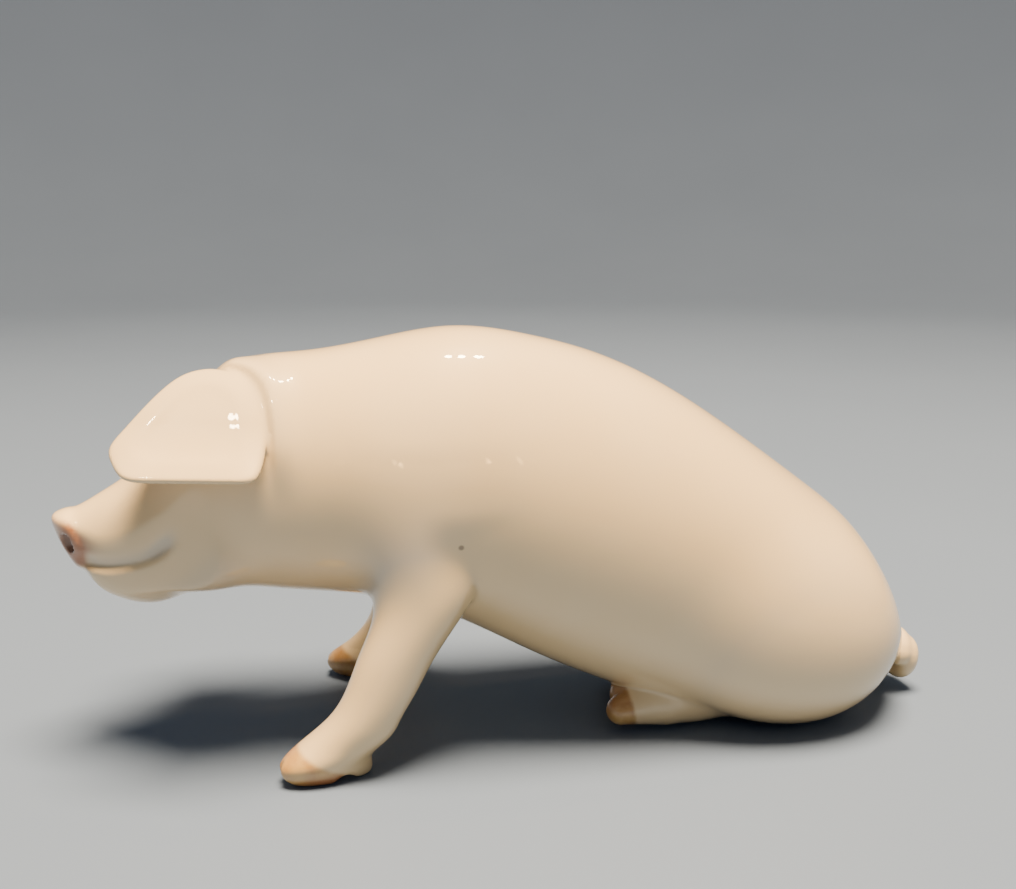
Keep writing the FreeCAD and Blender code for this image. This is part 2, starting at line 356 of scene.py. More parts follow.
# ---------------------------------------------------------------- LEGS AND FEET
# Height, place, distance from the middle plane, half length, half width.
FRONT_LEG = (
    (-2.0, -31.6, 17.2, 4.6, 2.2),
    (0.6, -32.7, 17.1, 6.3, 2.7),
    (3.0, -33.1, 17.0, 7.0, 4.0),
    (5.5, -30.6, 17.1, 6.8, 4.2),
    (9.0, -27.4, 17.2, 5.6, 4.2),
    (12.5, -25.1, 17.0, 5.35, 4.4),
    (17.5, -22.6, 16.4, 5.7, 4.9),
    (22.5, -19.7, 15.6, 6.3, 5.5),
    (27.5, -17.2, 14.6, 7.1, 6.2),
    (33.0, -16.4, 13.4, 7.8, 6.4),
    (40.0, -15.8, 11.0, 9.4, 6.5),
    (48.0, -14.0, 8.0, 10.5, 6.0),
)
LEG_HEIGHTS = np.array(FRONT_LEG)[:, 0]
LEG_SPLINES = [Spline(LEG_HEIGHTS, np.array(FRONT_LEG)[:, i]) for i in (1, 2, 3, 4)]
RIGHT_HOOF_BACK = 8.1
RIGHT_HOOF_OUT = 4.0
LEAN_TOP = 40.0  # the right leg leans back from this height down, over this length
LEAN_LENGTH = 34.0
TOE_OUT = 0.2
SOLE_HOLLOW = (-30.4, -0.3, 1.3)  # place, height and radius, between hoof and heel
CLEFT_SIDE = 17.2
CLEFT_HALF = 0.5
CLEFT_DEPTH = 0.45
LEG_TOP = 46.0


def toe_cleft(x, s, z):
    """How deep the hoof is split in front."""
    return CLEFT_DEPTH * np.exp(-(((s - CLEFT_SIDE) / CLEFT_HALF) ** 2)) * ease((-35.5 - x) / 2.0)


def front_leg(x, y, z, side):
    """A leg lofted through its sections, with the toes turned out."""
    s = side * y
    if side > 0:
        share = np.clip((LEAN_TOP - z) / LEAN_LENGTH, 0, 1)
        x = x - RIGHT_HOOF_BACK * share
        s = s - RIGHT_HOOF_OUT * share
    s = s + TOE_OUT * (x + 32.0) * ease((9.0 - z) / 8.0)
    held = np.clip(z, LEG_HEIGHTS[0], LEG_HEIGHTS[-1])
    step = 0.02
    here = [spline(held) for spline in LEG_SPLINES]
    rates = [(spline(held + step) - at) / step for spline, at in zip(LEG_SPLINES, here)]
    d = loft_distance(x, s, (here[0], here[1]), (here[2], here[3]), rates)
    place, height, radius = SOLE_HOLLOW
    hollow = np.sqrt((x - place) ** 2 + (z - height) ** 2) - radius
    d = smax(d, -hollow, 1.6)
    d = d + toe_cleft(x, s, z) * ease((4.5 - z) / 2.0)
    return smax(d, z - LEG_TOP, 4.0)


RIGHT_FOOT_BACK = 3.0
SHANK = ((25.2, 8.2, 4.6), (10.4, 4.0, 4.3), -2.0)  # centre, radii and pitch
# Start and end of each toe, with its radius at both.
OUTER_TOE = ((21.5, 8.6, 3.9), (14.4, 8.9, 3.3), 3.3, 2.4)
INNER_TOE = ((21.5, 6.6, 4.4), (15.7, 5.6, 4.5), 3.0, 2.3)


def hind_foot(x, y, z, side):
    """A foot that lies forward on the table, with two toes."""
    s = side * y
    if side > 0:
        x = x - RIGHT_FOOT_BACK
    toes = smin(limb(x, s, z, *OUTER_TOE), limb(x, s, z, *INNER_TOE), 0.9)
    return smin(ellipsoid(x, s, z, *SHANK), toes, 2.2)


TAIL_ROOT = (66.0, 6.1)  # place and height
TAIL_STEPS = 26
TAIL_START = -70.0  # degrees from upright
TAIL_TURN = 400.0
TAIL_COIL = (2.9, 0.5)  # radius at the root, and how much of it is lost by the tip
TAIL_THICK = (2.0, 0.8)
TAIL_REACH = 2.2


def tail(x, y, z):
    """One turn of a curl that lies against the rump and thins out to its tip."""
    share = np.linspace(0, 1, TAIL_STEPS)
    angle = np.radians(TAIL_START + TAIL_TURN * share)
    radius = TAIL_COIL[0] - TAIL_COIL[1] * share
    tube = TAIL_THICK[0] - TAIL_THICK[1] * share
    back = TAIL_ROOT[0] + TAIL_REACH * share
    places = np.stack([back, radius * np.sin(angle), TAIL_ROOT[1] + radius * np.cos(angle)], 1)
    d = None
    for i in range(TAIL_STEPS - 1):
        part = limb(x, y, z, places[i], places[i + 1], tube[i], tube[i + 1])
        d = part if d is None else smin(d, part, 1.4)
    return d


# ---------------------------------------------------------------- OPENINGS
def box_of(node):
    """Lowest and highest corner of a piece of the frame, in mm."""
    low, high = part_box(node)
    return np.array(low) / MM, np.array(high) / MM


PLUG_LOW, PLUG_HIGH = box_of("stopper")
PLUG_X = (PLUG_LOW[0] + PLUG_HIGH[0]) / 2
FLANGE_RADIUS = (PLUG_HIGH[0] - PLUG_LOW[0]) / 2
SEAT_RADIUS = FLANGE_RADIUS + 0.4
SEAT_DEPTH = 2.3
HOLE_RADIUS = 10.4
HOLE_PAST = 4.0  # how far the hole is cut past the inside of the base
WALL = 3.1
FLOOR = 5.6  # height of the inside of the base
CAVITY_FRONT = -48.0
SLOT = (44.0, 76.0, 14.0, 35.0)  # from, to, low, high
SLOT_HALF = 2.2


def openings(x, y, z):
    """The coin slot down the steep back and the stepped stopper hole in the base."""
    middle = (SLOT[2] + SLOT[3]) / 2
    half = (SLOT[3] - SLOT[2]) / 2 - SLOT_HALF
    slot = np.sqrt(y**2 + np.maximum(np.abs(z - middle) - half, 0) ** 2) - SLOT_HALF
    slot = np.maximum(slot, SLOT[0] - x)
    out = np.sqrt((x - PLUG_X) ** 2 + y**2)
    hole = np.maximum(out - HOLE_RADIUS, z - FLOOR - HOLE_PAST)
    seat = np.maximum(out - SEAT_RADIUS, z - SEAT_DEPTH)
    return slot, smin(hole, seat, 0.3)


def cavity(x, y, z):
    """The hollow inside trunk and neck. It stops short of the narrow snout and the rump."""
    d = trunk(x, y, z, WALL, FLOOR)
    d = smax(d, x - TRUNK_END + WALL, 2.0)
    return smax(d, CAVITY_FRONT - x, 6.0)


# ---------------------------------------------------------------- WHOLE PIG
LIMBS = {
    "left_ear": (ear, -1),
    "right_ear": (ear, 1),
    "left_front_leg": (front_leg, -1),
    "right_front_leg": (front_leg, 1),
    "left_hind_foot": (hind_foot, -1),
    "right_hind_foot": (hind_foot, 1),
    "tail": (lambda x, y, z, side: tail(x, y, z), 1),
}


# The muzzle is cut off a little behind the face of the disc. The cut is bowed like the disc, so
# past the end of the muzzle it is moved away, or it would reach the sides of the neck.
MUZZLE_BACK = 1.2
MUZZLE_END = -54.0
MUZZLE_FADE = 16.0
MUZZLE_LET_GO = 12.0


def torso(x, y, z):
    """Trunk and head, with everything on them that isn't a casting of its own."""
    d = trunk(x, y, z)
    d = smin(d, both_sides(x, y, z, SHOULDER), 7.0)
    d = smin(d, both_sides(x, y, z, HAUNCH), 8.0)
    d = smin(d, both_sides(x, y, z, CHEEK), 6.0)
    forward, _ = disc_frame(x, z)
    let_go = MUZZLE_LET_GO * ease((x - MUZZLE_END) / MUZZLE_FADE)
    d = smax(d, forward + MUZZLE_BACK + fall_back(y) - let_go, 1.6)
    d = smin(d, snout(x, y, z), 1.8)
    d = d + mouth_relief(x, y, z) - ear_ridge(x, y, z)
    return smin(d, both_sides(x, y, z, EYE), 0.8)


def leg_fillet(x, z):
    """Front and top of a leg flow into the trunk; the elbow behind stays crisp."""
    front = ease((-12.0 - x) / 9.0)
    high = ease((z - 33.0) / 9.0)
    return 1.4 + 6.6 * (1 - (1 - front) * (1 - high))


def parts_at(x, y, z):
    """The field of each casting on its own."""
    parts = {"body_shell": torso(x, y, z)}
    for name, (shape, side) in LIMBS.items():
        parts[name] = shape(x, y, z, side)
    return parts


def joined(parts, x, z):
    """The castings luted together, with their fillets."""
    d = parts["body_shell"]
    for name in LIMBS:
        if "leg" in name:
            fillet = leg_fillet(x, z)
        elif "foot" in name:
            fillet = 1.8
        else:
            fillet = 1.0
        d = smin(d, parts[name], fillet)
    return d


def outside_of(parts, x, y, z):
    """The pig's outer skin."""
    d = smax(joined(parts, x, z), -nostrils(x, y, z), 0.6)
    return smax(d, -z, 0.9)


# Top of a front leg's casting: its height at a place, and how fast it falls towards the tail.
LEG_CUT = 29.0
LEG_CUT_PLACE = -24.0
LEG_CUT_SLOPE = 0.2
TAIL_PATCH = (5.5, 63.5)  # radius, and how far forward it reaches


def claim(name, parts, x, y, z):
    """Below 0 where a limb owns the clay: nearer its own core than any other casting's.

    A front leg is cut off level with the underside of the trunk, and the tail stands
    on a round patch of the rump.
    """
    if name == "tail":
        return smax(np.hypot(y, z - TAIL_ROOT[1]) - TAIL_PATCH[0], TAIL_PATCH[1] - x, 0.4)
    others = [field for other, field in parts.items() if other != name]
    own = parts[name] - np.minimum.reduce(others)
    if "front_leg" in name:
        own = smax(own, z - LEG_CUT + LEG_CUT_SLOPE * (x - LEG_CUT_PLACE), 2.0)
    return own


def skin_of(parts, x, y, z):
    """The glazed skin: the outside less slot, stopper hole and cavity."""
    slot, hole = openings(x, y, z)
    d = smax(outside_of(parts, x, y, z), -slot, 1.0)
    d = smax(d, -hole, 0.7)
    return smax(d, -cavity(x, y, z), 0.8)


def skin(x, y, z):
    return skin_of(parts_at(x, y, z), x, y, z)


def join_of(owner, parts, x, y, z):
    """The join of one casting to its neighbours. The shell owns what no limb claims."""
    if owner != "body_shell":
        return claim(owner, parts, x, y, z)
    return -np.minimum.reduce([claim(name, parts, x, y, z) for name in LIMBS])


def walls_of(owner):
    """The two walls round one casting, as one function: its skin and its join."""

    def walls(x, y, z):
        parts = parts_at(x, y, z)
        return skin_of(parts, x, y, z), join_of(owner, parts, x, y, z)

    return walls


# ---------------------------------------------------------------- MESHING
def gradient(field, places):
    """Unit slope of a field at some places, and how steep it is."""
    step = 0.01
    slope = np.empty_like(places)
    for axis in range(3):
        ahead, behind = places.copy(), places.copy()
        ahead[:, axis] += step
        behind[:, axis] -= step
        slope[:, axis] = (field(*ahead.T) - field(*behind.T)) / (2 * step)
    steep = np.linalg.norm(slope, axis=1) + 1e-9
    return slope / steep[:, None], steep


def settle(field, places, reach, rounds=3):
    """Moves places onto the zero surface of a field, by no more than reach each time."""
    for _ in range(rounds):
        normal, steep = gradient(field, places)
        move = -field(*places.T) / steep
        places = places + np.clip(move, -reach, reach)[:, None] * normal
    return places


def settle_on_edge(first, second, places, reach, rounds=5):
    """Moves places onto the line where two zero surfaces cross."""
    start = places
    for _ in range(rounds):
        n1, s1 = gradient(first, places)
        n2, s2 = gradient(second, places)
        e1, e2 = first(*places.T) / s1, second(*places.T) / s2
        c = np.clip(np.sum(n1 * n2, axis=1), -0.97, 0.97)
        w1 = (e1 - c * e2) / (1 - c * c)
        w2 = (e2 - c * e1) / (1 - c * c)
        places = places - np.clip(w1, -reach, reach)[:, None] * n1
        places = places - np.clip(w2, -reach, reach)[:, None] * n2
    far = np.linalg.norm(places - start, axis=1) > 1.6 * reach
    places[far] = start[far]
    return places, ~far


def evaluate(walls, grid):
    """The higher of the two walls at each grid point, worked out in slices."""
    value = np.empty(grid.shape[:3])
    for i in range(grid.shape[0]):
        x, y, z = (grid[i, :, :, axis].ravel() for axis in range(3))
        value[i] = np.maximum(*walls(x, y, z)).reshape(grid.shape[1:3])
    return value


def crossings(grid, value, axis):
    """Grid edges along one axis that pass through the surface: where, and which way."""
    low = [slice(None)] * 3
    high = [slice(None)] * 3
    low[axis], high[axis] = slice(None, -1), slice(1, None)
    low, high = tuple(low), tuple(high)
    change = (value[low] < 0) != (value[high] < 0)
    cell = np.argwhere(change)
    a, b = value[low][change], value[high][change]
    share = (a / (a - b))[:, None]
    place = grid[low][change] * (1 - share) + grid[high][change] * share
    return cell, place, a < 0


def dual_mesh(walls, grid):
    """Surface nets: one corner per mixed cell, one quad per crossed grid edge.

    Gives corners, quads and, for each quad, whether it lies on the join.
    """
    value = evaluate(walls, grid)
    cells = np.array(value.shape) - 1
    total = np.zeros((cells.prod(), 3))
    hits = np.zeros(cells.prod())
    quads, crossing_places = [], []
    stride = np.array([cells[1] * cells[2], cells[2], 1])
    for axis in range(3):
        cell, place, leaving = crossings(grid, value, axis)
        u, v = (axis + 1) % 3, (axis + 2) % 3
        ring = []
        for du, dv in ((1, 1), (0, 1), (0, 0), (1, 0)):
            around = cell.copy()
            around[:, u] -= du
            around[:, v] -= dv
            ring.append(around @ stride)
        ring = np.stack(ring, 1)
        for k in range(4):
            np.add.at(total, ring[:, k], place)
            np.add.at(hits, ring[:, k], 1)
        ring[~leaving] = ring[~leaving][:, ::-1]
        quads.append(ring)
        crossing_places.append(place)
    quads = np.concatenate(quads)
    crossing_places = np.concatenate(crossing_places)
    used = np.flatnonzero(hits)
    number = np.full(len(hits), -1)
    number[used] = np.arange(len(used))
    corners = total[used] / hits[used][:, None]
    skin_level, join_level = walls(*crossing_places.T)
    return corners, number[quads], join_level > skin_level


def fit_corners(walls, corners, quads, on_join, reach):
    """Puts corners on their wall, and those between the two walls on the seam."""

    def join(x, y, z):
        return walls(x, y, z)[1]

    touches_skin = np.zeros(len(corners), bool)
    touches_join = np.zeros(len(corners), bool)
    touches_skin[quads[~on_join].ravel()] = True
    touches_join[quads[on_join].ravel()] = True
    only_join = touches_join & ~touches_skin
    corners[only_join] = settle(join, corners[only_join], reach)
    seam = np.flatnonzero(touches_skin & touches_join)
    corners[seam], good = settle_on_edge(skin, join, corners[seam], reach)
    on_skin = touches_skin & ~touches_join
    on_skin[seam[~good]] = True
    corners[on_skin] = settle(skin, corners[on_skin], reach)
    return corners


def new_mesh(name, corners, quads, on_join):
    """A mesh in metres, smooth on the skin with the field's own normals."""
    mesh = bpy.data.meshes.new(name)
    mesh.from_pydata(corners * MM, [], quads)
    mesh.polygons.foreach_set("use_smooth", ~on_join)
    mesh.update()
    normal, _ = gradient(skin, corners)
    loops = normal[quads.ravel()]
    flat = np.zeros((len(mesh.polygons), 3))
    mesh.polygons.foreach_get("normal", flat.ravel())
    inner = np.repeat(on_join, 4)
    loops[inner] = np.repeat(flat, 4, axis=0)[inner]
    mesh.normals_split_custom_set(loops)
    obj = bpy.data.objects.new(name, mesh)
    bpy.context.scene.collection.objects.link(obj)
    return obj


def even_grid(low, high, pitch):
    """A box of cubic cells."""
    axes = [np.arange(a, b + pitch, pitch) for a, b in zip(low, high)]
    return np.stack(np.meshgrid(*axes, indexing="ij"), -1)


BODY_FRONT = -79.0
BODY_REACH = 148.5
BODY_COUNTED = (148.0, 54.0, 69.0)  # length, width and height that the pitch divides into cells
BODY_TALL = 1.28  # half height of the grid over its half width


def body_grid(pitch):
    """A grid that narrows with the pig, so that the head gets smaller cells than the trunk."""
    long, wide, high = [int(round(length / pitch)) for length in BODY_COUNTED]
    share = np.linspace(0, 1, long + 20)
    x = BODY_FRONT + BODY_REACH * (0.82 * share + 0.18 * share**2)
    size = 14.0 + 13.0 * ease((x + 76.0) / 55.0)
    middle = 34.0 + 3.0 * ease((x + 76.0) / 26.0) - 16.5 * ease((x + 30.0) / 75.0)
    across = np.linspace(-1.0, 1.0, wide)
    tall = np.linspace(-BODY_TALL, BODY_TALL, high)
    grid = np.empty((len(x), len(across), len(tall), 3))
    grid[..., 0] = x[:, None, None]
    grid[..., 1] = size[:, None, None] * across[None, :, None]
    grid[..., 2] = middle[:, None, None] + size[:, None, None] * tall[None, None, :]
    return grid


# ---------------------------------------------------------------- PAINT
HOOF_FRONT = -31.0  # the horn begins here, and its edge rises forwards from its height
HORN_HEIGHT = 2.3
HORN_SLOPE = 0.62
FOOT_FRONT = 16.2


def near_point(x, y, z, centre, reach, soft):
    """1 within reach of a point, fading to 0 over soft."""
    away = np.sqrt((x - centre[0]) ** 2 + (y - centre[1]) ** 2 + (z - centre[2]) ** 2)
    return ease((reach + soft - away) / soft)


def snout_paint(x, y, z):
    """Pale pink on the disc, a warm halo round each nostril, and its dark middle."""
    forward, up = disc_frame(x, z)
    face = ease(forward + fall_back(y) + 1.9)
    inside = ease(forward + fall_back(y) + 4.2)
    across, tall = nostril_frame(y, up)
    away = np.sqrt((across / NOSTRIL_WIDE) ** 2 + (tall / NOSTRIL_TALL) ** 2) - 1.0
    glow = np.sqrt(((across - 0.7) / 1.1) ** 2 + ((tall + 0.6) / 1.7) ** 2) - 1.0
    return {
        "blush": face * ease((5.4 - np.hypot(y, up)) / 1.6),
        "halo": 0.95 * face * ease((2.2 - glow) / 1.9),
        "dark": inside * ease((0.45 - away) / 0.8),
    }


def eye_paint(x, y, z):
    """A dark spot on the outer end of each eye."""
    (place, aside, height), radii, _ = EYE
    return near_point(x, np.abs(y), z, (place, aside + radii[1], height), 1.0, 0.5)


def hoof_paint(x, y, z, side):
    """Horn on the hoof of a front leg, darker at the sole."""
    back = RIGHT_HOOF_BACK if side > 0 else 0.0
    forwards = HOOF_FRONT + back - x
    line = HORN_HEIGHT + HORN_SLOPE * np.maximum(forwards, 0.0)
    front = ease((forwards + 0.6) / 1.0)
    horn = ease((line - z) / 1.3) * front
    sole = ease((2.8 - z) / 2.2) * ease((7.5 - forwards) / 5.0) * front
    return {"horn": horn, "halo": 0.9 * sole}


def foot_paint(x, y, z, side):
    """Horn on the toes of a hind foot, darker on top."""
    back = RIGHT_FOOT_BACK if side > 0 else 0.0
    tip = FOOT_FRONT + back - 0.22 * (z - 3.0)
    horn = ease((tip - x) / 0.9 + 0.5)
    return {"horn": horn, "halo": 0.45 * horn * ease((z - 3.0) / 2.5)}


WIDE_POOL_SHADE = 0.42  # how much glaze the wide hollows hold, and how much painted shade darkens them


def pooled_shade(x, y, z):
    """How deep a place lies in a fillet, where the glaze gathers and shade is painted in as a
    darker colour.

    The wide hollows of the trunk hold less of it than the joins of the limbs.
    """
    parts = parts_at(x, y, z)
    level = outside_of(parts, x, y, z)
    joins = np.minimum.reduce(list(parts.values())) - level
    parts["body_shell"] = np.minimum(trunk(x, y, z), snout(x, y, z))
    parts["shoulders"] = both_sides(x, y, z, SHOULDER)
    parts["haunches"] = both_sides(x, y, z, HAUNCH)
    hollows = np.minimum.reduce(list(parts.values())) - level
    pool = np.clip((joins - 0.05) / 1.2, 0, 1)
    return {"pool": np.maximum(pool, WIDE_POOL_SHADE * ease(hollows / 2.4))}


def add_paint(obj, layers):
    """Stores each layer's 0 to 1 share at every corner."""
    for name, share in layers.items():
        attribute = obj.data.attributes.new(name, "FLOAT", "POINT")
        attribute.data.foreach_set("value", share.astype(np.float32))


# ---------------------------------------------------------------- MATERIALS
def tree_of(name):
    """A new material, its node tree and its main shader."""
    material = bpy.data.materials.new(name)
    material.use_nodes = True
    tree = material.node_tree
    return material, tree, tree.nodes["Principled BSDF"]


def add_node(tree, kind, values=(), **settings):
    node = tree.nodes.new(kind)
    for key, value in settings.items():
        setattr(node, key, value)
    for key, value in dict(values).items():
        node.inputs[key].default_value = value
    return node


def noise(tree, scale, detail=2.0, roughness=0.5, stretch=None):
    """Noise fixed to the piece, with features about 1 / scale metres across."""
    where = tree.nodes.new("ShaderNodeTexCoord").outputs["Object"]
    if stretch:
        mapping = add_node(tree, "ShaderNodeMapping", {"Scale": stretch})
        tree.links.new(where, mapping.inputs["Vector"])
        where = mapping.outputs["Vector"]
    node = add_node(
        tree, "ShaderNodeTexNoise", {"Scale": scale, "Detail": detail, "Roughness": roughness}
    )
    tree.links.new(where, node.inputs["Vector"])
    return node.outputs["Fac"]


def spread(tree, source, low, high, to_low=0.0, to_high=1.0):
    node = add_node(
        tree,
        "ShaderNodeMapRange",
        {"From Min": low, "From Max": high, "To Min": to_low, "To Max": to_high},
        interpolation_type="SMOOTHSTEP",
    )
    tree.links.new(source, node.inputs["Value"])
    return node.outputs["Result"]


def blend_colours(tree, share, first, second):
    """first where share is 0, second where it is 1. Each is a colour or a socket."""
    node = add_node(tree, "ShaderNodeMix", data_type="RGBA")
    sockets = [s for s in node.inputs if s.type == "RGBA"]
    for socket, value in zip(sockets, (first, second)):
        if isinstance(value, tuple):
            socket.default_value = (*value, 1.0)
        else:
            tree.links.new(value, socket)
    tree.links.new(share, node.inputs["Factor"])
    return next(s for s in node.outputs if s.type == "RGBA")


def layer_share(tree, name):
    return add_node(tree, "ShaderNodeAttribute", attribute_name=name).outputs["Fac"]


def times(tree, first, second):
    node = add_node(tree, "ShaderNodeMath", operation="MULTIPLY")
    for socket, value in zip(node.inputs, (first, second)):
        if isinstance(value, (int, float)):
            socket.default_value = value
        else:
            tree.links.new(value, socket)
    return node.outputs[0]


def add_bump(tree, shader, layers):
    """layers is (height socket, distance in metres, strength), from the first laid down."""
    normal = None
    for height, distance, strength in layers:
        bump = add_node(tree, "ShaderNodeBump", {"Distance": distance, "Strength": strength})
        tree.links.new(height, bump.inputs["Height"])
        if normal:
            tree.links.new(normal, bump.inputs["Normal"])
        normal = bump.outputs["Normal"]
    tree.links.new(normal, shader.inputs["Normal"])


IVORY = (0.80, 0.586, 0.315)
IVORY_THIN = (0.84, 0.655, 0.415)
# Grey of glaze pooled in the hollows, also laid on as painted shade there and in the mouth line.
GLAZE_POOL_SHADE = (0.52, 0.455, 0.375)
BLUSH = (0.74, 0.426, 0.303)
HORN = (0.44, 0.210, 0.060)
HORN_LIGHT = (0.60, 0.350, 0.105)
HALO = (0.34, 0.122, 0.042)
NOSTRIL = (0.085, 0.030, 0.014)
SPECK = (0.10, 0.055, 0.03)
PINHOLE = (-13.0, -20.0, 35.5)
PINHOLE_RADII = (0.58, 0.22)  # where its colour starts, and where it is full
CLAY_PALE = (0.72, 0.66, 0.56)
CLAY_SOILED = (0.55, 0.48, 0.39)
RUBBER_DARK = (0.035, 0.033, 0.032)
RUBBER_BLOOM = (0.075, 0.07, 0.065)
# Bluish, so that the floor looks a neutral pale grey in the warm light.
FLOOR_COLOURS = ((0.137, 0.180, 0.274), (0.148, 0.194, 0.294))


def pinhole_share(tree):
    """The one kiln pinhole, on the near flank."""
    where = tree.nodes.new("ShaderNodeTexCoord").outputs["Object"]
    away = add_node(tree, "ShaderNodeVectorMath", operation="DISTANCE")
    away.inputs[1].default_value = [place * MM for place in PINHOLE]
    tree.links.new(where, away.inputs[0])
    start, full = PINHOLE_RADII
    return spread(tree, away.outputs["Value"], start * MM, full * MM)


def glazed_porcelain():
    """Ivory porcelain with underglaze paint and a clear glaze over it."""
    material, tree, shader = tree_of("glazed_porcelain")
    clouds = spread(tree, noise(tree, 38.0, 3.0), 0.35, 0.65)
    fine = spread(tree, noise(tree, 260.0, 4.0, 0.6), 0.3, 0.7)
    colour = blend_colours(tree, times(tree, clouds, 0.35), IVORY, IVORY_THIN)
    # Pooled glaze and painted shade in the fillets, hollows and mouth line.
    colour = blend_colours(tree, times(tree, layer_share(tree, "pool"), 0.75), colour, GLAZE_POOL_SHADE)
    colour = blend_colours(tree, times(tree, layer_share(tree, "blush"), 0.75), colour, BLUSH)
    horn = blend_colours(tree, fine, HORN, HORN_LIGHT)
    brushed = spread(tree, noise(tree, 420.0, 3.0, stretch=(0.35, 1.0, 1.0)), 0.25, 0.6, 0.72, 1.0)
    colour = blend_colours(tree, times(tree, layer_share(tree, "horn"), brushed), colour, horn)
    colour = blend_colours(tree, times(tree, layer_share(tree, "halo"), brushed), colour, HALO)
    colour = blend_colours(tree, layer_share(tree, "dark"), colour, NOSTRIL)
    colour = blend_colours(tree, times(tree, pinhole_share(tree), 0.75), colour, SPECK)
    tree.links.new(colour, shader.inputs["Base Color"])
    rough = spread(tree, noise(tree, 120.0, 3.0), 0.3, 0.7, 0.30, 0.40)
    tree.links.new(rough, shader.inputs["Roughness"])
    shader.inputs["IOR"].default_value = 1.5
    shader.inputs["Coat Weight"].default_value = 1.0
    shader.inputs["Coat Roughness"].default_value = 0.035
    shader.inputs["Coat IOR"].default_value = 1.52
    waves = noise(tree, 55.0, 2.0)
    ripple = noise(tree, 300.0, 2.0)
    add_bump(tree, shader, ((waves, 0.0006, 0.12), (ripple, 0.00006, 0.2)))
    tree.links.new(shader.inputs["Normal"].links[0].from_socket, shader.inputs["Coat Normal"])
    return material


def biscuit():
    """Bare fired clay where the glaze was wiped off so that the pig could stand in the kiln."""
    material, tree, shader = tree_of("bare_biscuit")
    grain = noise(tree, 2400.0, 4.0, 0.65)
    soil = spread(tree, noise(tree, 140.0, 4.0), 0.35, 0.7)
    colour = blend_colours(tree, soil, CLAY_PALE, CLAY_SOILED)
    tree.links.new(colour, shader.inputs["Base Color"])
    rough = spread(tree, grain, 0.3, 0.7, 0.72, 0.88)
    tree.links.new(rough, shader.inputs["Roughness"])
    add_bump(tree, shader, ((grain, 0.00008, 0.5),))
    return material


def rubber():
    """Moulded natural rubber, slightly bloomed."""
    material, tree, shader = tree_of("moulded_rubber")
    bloom = spread(tree, noise(tree, 160.0, 4.0, 0.6), 0.35, 0.7)
    colour = blend_colours(tree, bloom, RUBBER_DARK, RUBBER_BLOOM)
    tree.links.new(colour, shader.inputs["Base Color"])
    rough = spread(tree, noise(tree, 700.0, 3.0), 0.3, 0.7, 0.48, 0.68)
    tree.links.new(rough, shader.inputs["Roughness"])
    add_bump(tree, shader, ((noise(tree, 3200.0, 3.0, 0.6), 0.00004, 0.5),))
    return material


# ---------------------------------------------------------------- PIECES
PORCELAIN = glazed_porcelain()
BISCUIT = biscuit()
RUBBER = rubber()
HEIGHT_OF_BARE_CLAY = 0.02


def finish_casting(obj, node):
    """Materials, body and slot of one piece of the pig. Faces on the table are bare clay."""
    obj.data.materials.append(PORCELAIN)
    obj.data.materials.append(BISCUIT)
    centres = np.empty((len(obj.data.polygons), 3))
    obj.data.polygons.foreach_get("center", centres.ravel())
    bare = centres[:, 2] < HEIGHT_OF_BARE_CLAY * MM
    obj.data.polygons.foreach_set("material_index", bare.astype(np.int32))
    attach(obj, "pig")
    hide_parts(node)


def casting(node, grid, pitch, paint=None):
    """One glazed piece of the pig, meshed on its own grid."""
    walls = walls_of(node)
    corners, quads, on_join = dual_mesh(walls, grid)
    corners = fit_corners(walls, corners, quads, on_join, pitch)
    obj = new_mesh("glazed_" + node, corners, quads, on_join)
    x, y, z = corners.T
    # Share of pooled glaze and painted shade in the hollows.
    layers = pooled_shade(x, y, z)
    if paint:
        layers.update(paint(x, y, z))
    add_paint(obj, layers)
    finish_casting(obj, node)


SEARCH_BOX = ((-76.0, -30.0, -1.5), (75.0, 30.0, 68.0))
SEARCH_PITCH = 1.5
LIMB_MARGIN = 2.6


def limb_boxes():
    """Corners of the space that each limb takes, with a margin."""
    grid = even_grid(*SEARCH_BOX, SEARCH_PITCH)
    places = grid.reshape(-1, 3)
    places = places[skin(*places.T) < 0]
    parts = parts_at(*places.T)
    names = list(parts)
    owner = np.argmin([parts[name] for name in names], axis=0)
    boxes = {}
    for name in LIMBS:
        mine = places[owner == names.index(name)]
        boxes[name] = mine.min(axis=0) - LIMB_MARGIN, mine.max(axis=0) + LIMB_MARGIN
    return boxes


LIMB_PAINT = {
    "left_front_leg": lambda x, y, z: hoof_paint(x, y, z, -1),
    "right_front_leg": lambda x, y, z: hoof_paint(x, y, z, 1),
    "left_hind_foot": lambda x, y, z: foot_paint(x, y, z, -1),
    "right_hind_foot": lambda x, y, z: foot_paint(x, y, z, 1),
}
# Grid pitch of the pieces in mm.
PITCH = {"body_shell": 0.69, "tail": 0.25, "left_ear": 0.36, "right_ear": 0.36}
LIMB_PITCH = 0.4
COARSER = 1.0


def shell_paint(x, y, z):
    """Snout and eyes, with pooled glaze and painted shade in the line of the mouth."""
    layers = snout_paint(x, y, z)
    layers["dark"] = np.maximum(layers["dark"], eye_paint(x, y, z))
    # The mouth groove is darkened as painted shade.
    groove = np.clip(mouth_relief(x, y, z), 0, 1)
    layers["pool"] = np.maximum(pooled_shade(x, y, z)["pool"], groove)
    return layers


def castings():
    for node, box in limb_boxes().items():
        pitch = PITCH.get(node, LIMB_PITCH) * COARSER
        casting(node, even_grid(*box, pitch), pitch, LIMB_PAINT.get(node))
    pitch = PITCH["body_shell"] * COARSER
    casting("body_shell", body_grid(pitch), pitch, shell_paint)


